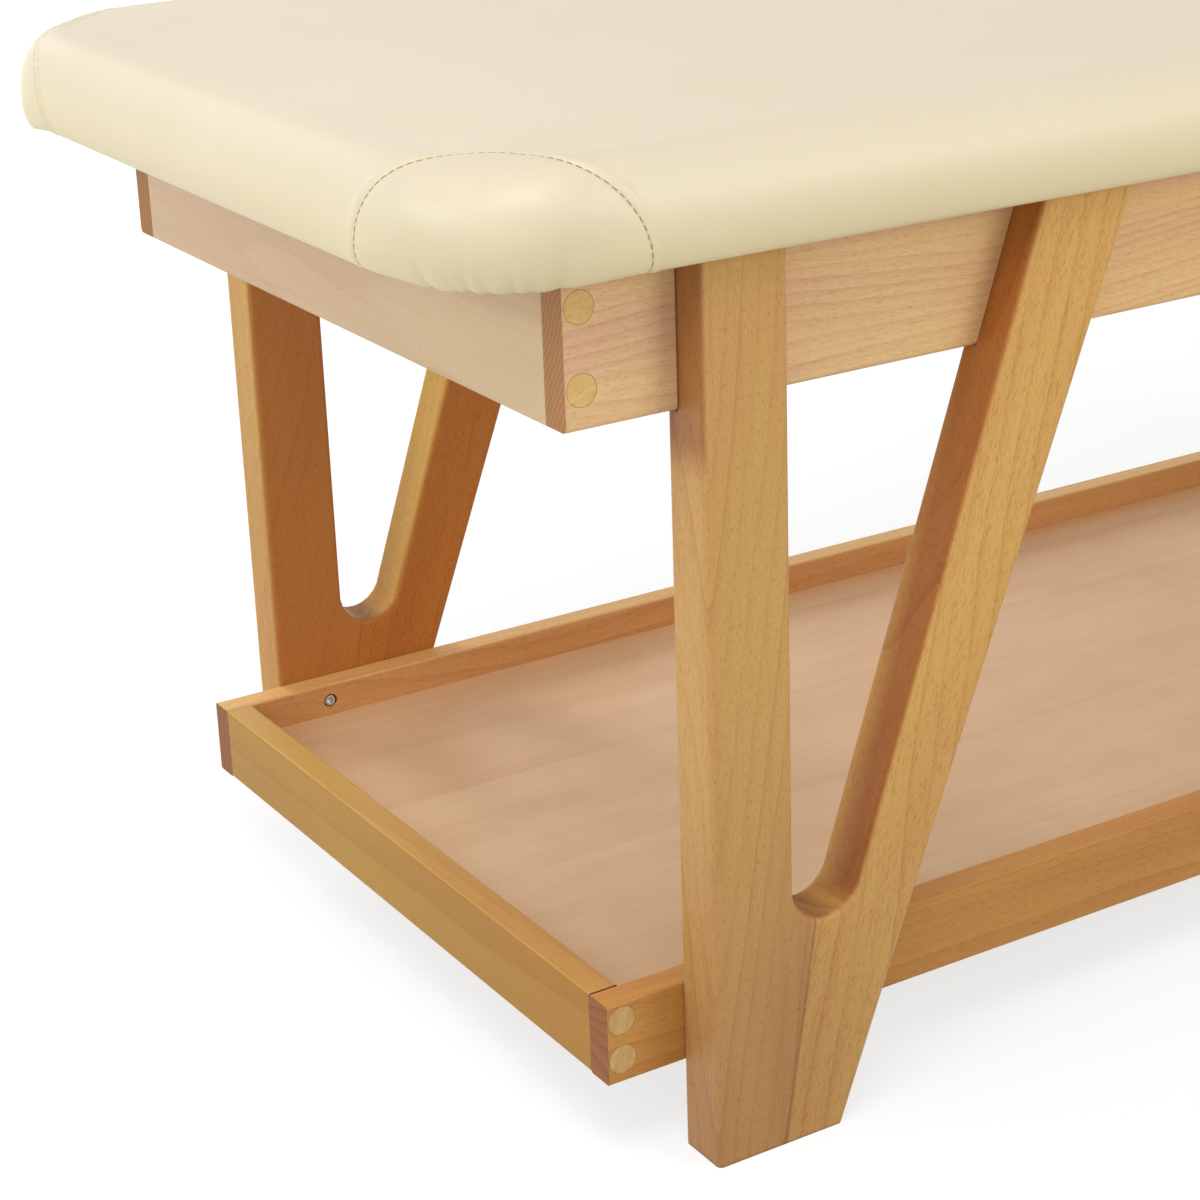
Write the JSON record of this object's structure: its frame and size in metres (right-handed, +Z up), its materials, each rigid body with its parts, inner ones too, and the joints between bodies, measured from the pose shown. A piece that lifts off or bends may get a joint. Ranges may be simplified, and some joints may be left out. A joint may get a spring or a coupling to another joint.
{
  "type": "treatment table",
  "caption": "Fixed wooden treatment table with a padded, covered top, V-shaped legs and an open storage tray low between them.",
  "frame": {"origin": "middle of the footprint, on the floor", "axes": "+X along the length, -Y the side that faces the viewer, +Z up"},
  "size_m": [2, 0.77, 0.742],
  "materials": {
    "frame_beech": "satin varnish",
    "leg_beech": "satin varnish",
    "tray_beech": "satin varnish",
    "plug_wood": "satin varnish",
    "plywood": "satin varnish",
    "fastener_steel": "zinc plated",
    "insert_steel": "zinc plated",
    "foam": "matte",
    "cover_leather": "smooth satin"
  },
  "bodies": {
    "root": {"side_rail_front": "frame_beech", "side_rail_back": "frame_beech", "end_rail_left": "frame_beech", "end_rail_right": "frame_beech", "cross_rail_left": "frame_beech", "cross_rail_middle": "frame_beech", "cross_rail_right": "frame_beech", "leg_post_front_left": "leg_beech", "leg_post_front_right": "leg_beech", "leg_post_back_left": "leg_beech", "leg_post_back_right": "leg_beech", "leg_brace_front_left": "leg_beech", "leg_brace_front_right": "leg_beech", "leg_brace_back_left": "leg_beech", "leg_brace_back_right": "leg_beech", "tray_side_rail_front": "tray_beech", "tray_side_rail_back": "tray_beech", "tray_end_rail_left": "tray_beech", "tray_end_rail_right": "tray_beech", "frame_screws": "fastener_steel", "deck_screws": "fastener_steel", "leg_bolts": "fastener_steel", "tray_screws": "fastener_steel", "tray_bolts": "fastener_steel", "leg_inserts": "insert_steel", "tray_inserts": "insert_steel", "frame_plugs": "plug_wood", "tray_plugs": "plug_wood", "cross_rail_dowels": "plug_wood", "mattress_cover": "cover_leather", "cover_corner_front_left": "cover_leather", "cover_corner_front_right": "cover_leather", "cover_corner_back_left": "cover_leather", "cover_corner_back_right": "cover_leather", "mattress_foam": "foam", "mattress_board": "plywood", "tray_floor": "plywood"}
  },
  "joints": []
}
